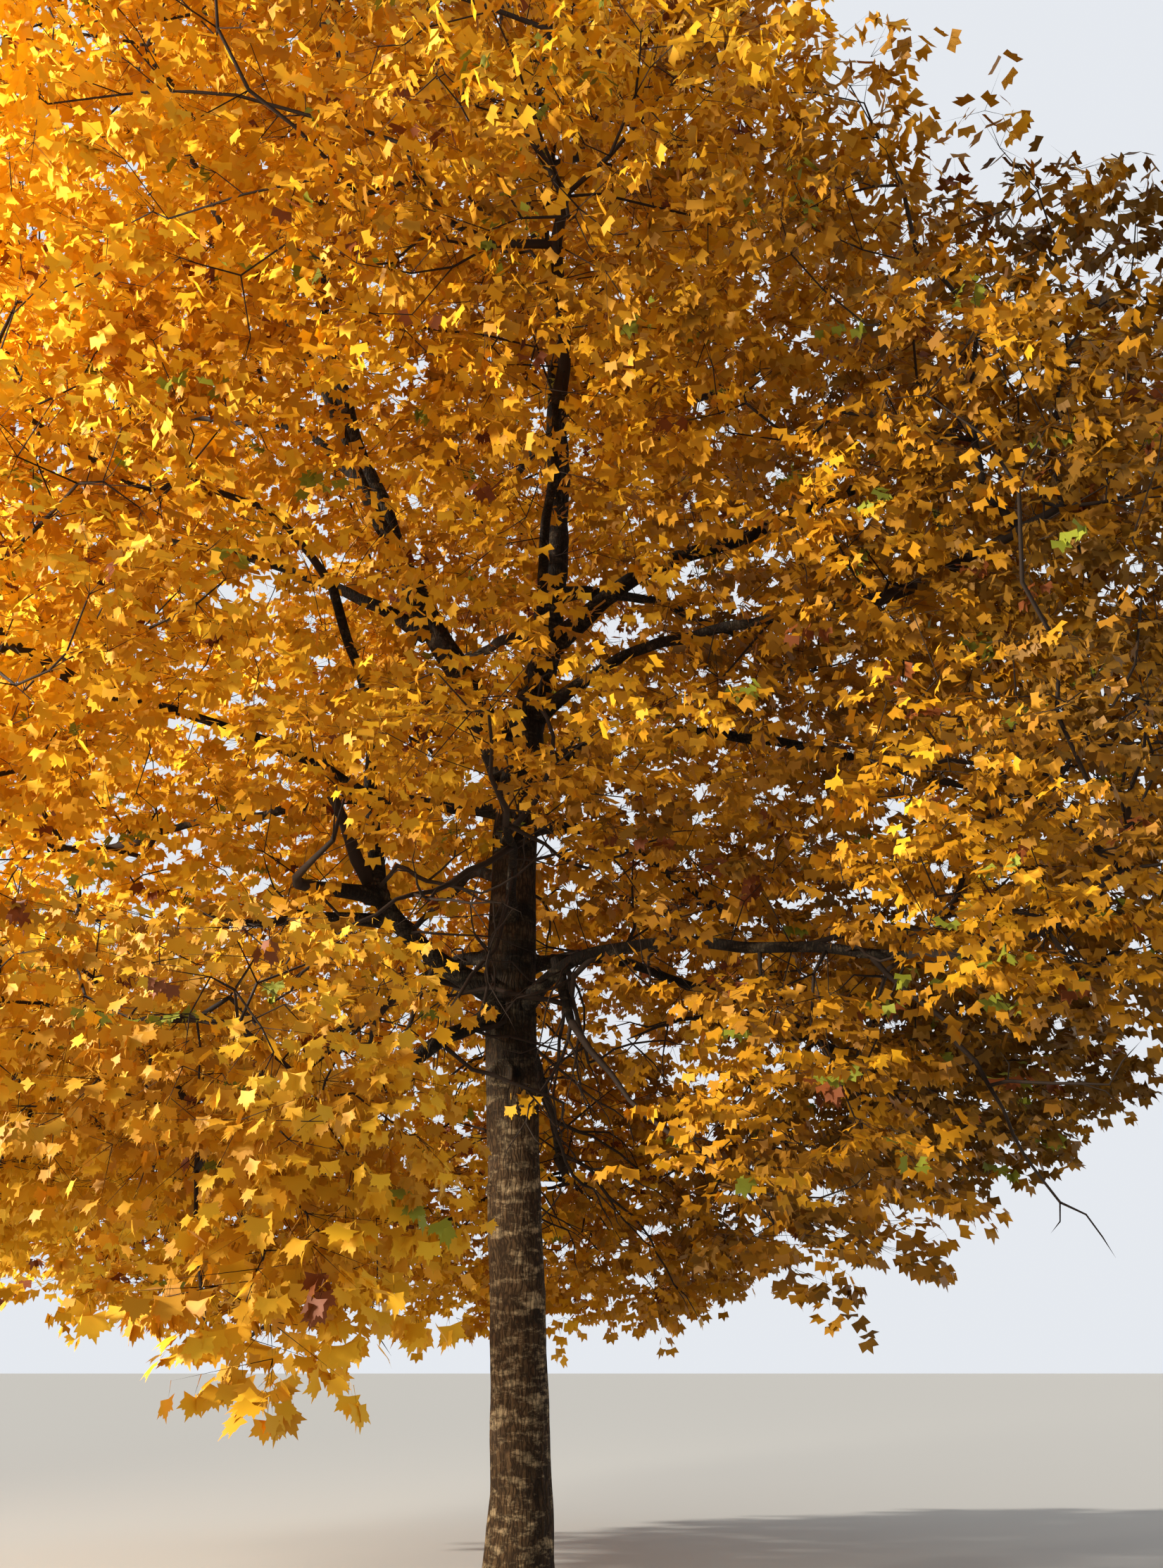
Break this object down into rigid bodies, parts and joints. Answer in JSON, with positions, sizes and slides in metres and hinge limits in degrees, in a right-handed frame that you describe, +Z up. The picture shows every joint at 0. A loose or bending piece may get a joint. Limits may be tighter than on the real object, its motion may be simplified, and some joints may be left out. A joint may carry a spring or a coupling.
{
  "type": "maple tree",
  "caption": "Broad deciduous maple in golden autumn leaf, with a leaning bare trunk that forks, arching boughs and a full domed head of leaf masses down to low skirts.",
  "frame": {"origin": "middle of the trunk's flat cut at ground level", "axes": "+Z up the tree, -Y towards the side that the picture shows, +X to that view's right"},
  "size_m": [13.1442, 12.7929, 18.5336],
  "materials": {
    "bark": "rough",
    "leaves_lemon": "matte",
    "leaves_gold": "matte",
    "leaves_amber": "matte"
  },
  "bodies": {
    "root": {"trunk": "bark", "leader": "bark", "stem_left": "bark", "stem_right": "bark", "bough_left_drop": "bark", "bough_first_left": "bark", "bough_left_reach": "bark", "bough_left_riser": "bark", "bough_left_skirt": "bark", "bough_left_back_skirt": "bark", "bough_back_skirt": "bark", "bough_right_back_skirt": "bark", "bough_right_low": "bark", "bough_right_drop": "bark", "bough_front_low": "bark", "bough_left_front_low": "bark", "bough_left_low": "bark", "bough_back_low": "bark", "bough_right_back_low": "bark", "bough_right_mid": "bark", "bough_right_front_low": "bark", "bough_front_mid": "bark", "bough_left_mid": "bark", "bough_back_mid": "bark", "bough_right_back_mid": "bark", "bough_front_high": "bark", "bough_upper_left": "bark", "bough_left_back_high": "bark", "bough_back_high": "bark", "bough_right_high": "bark", "leaves_front_hang": "leaves_gold", "leaves_left_front_skirt": "leaves_lemon", "leaves_left_skirt": "leaves_lemon", "leaves_left_back_skirt": "leaves_lemon", "leaves_back_skirt": "leaves_gold", "leaves_right_back_skirt": "leaves_amber", "leaves_right_hang": "leaves_gold", "leaves_right_front_skirt": "leaves_amber", "leaves_front_low": "leaves_gold", "leaves_left_front_low": "leaves_lemon", "leaves_left_low": "leaves_lemon", "leaves_back_low": "leaves_gold", "leaves_right_back_low": "leaves_amber", "leaves_right_low": "leaves_amber", "leaves_right_front_low": "leaves_amber", "leaves_front_mid": "leaves_gold", "leaves_left_front_mid": "leaves_lemon", "leaves_left_mid": "leaves_lemon", "leaves_back_mid": "leaves_gold", "leaves_right_back_mid": "leaves_amber", "leaves_right_shoulder": "leaves_amber", "leaves_front_high": "leaves_gold", "leaves_left_front_high": "leaves_lemon", "leaves_left_back_high": "leaves_lemon", "leaves_back_high": "leaves_gold", "leaves_right_high": "leaves_amber", "leaves_top_front": "leaves_gold", "leaves_top_left": "leaves_lemon", "leaves_top_back": "leaves_gold", "leaves_crown_top": "leaves_gold"}
  },
  "joints": []
}
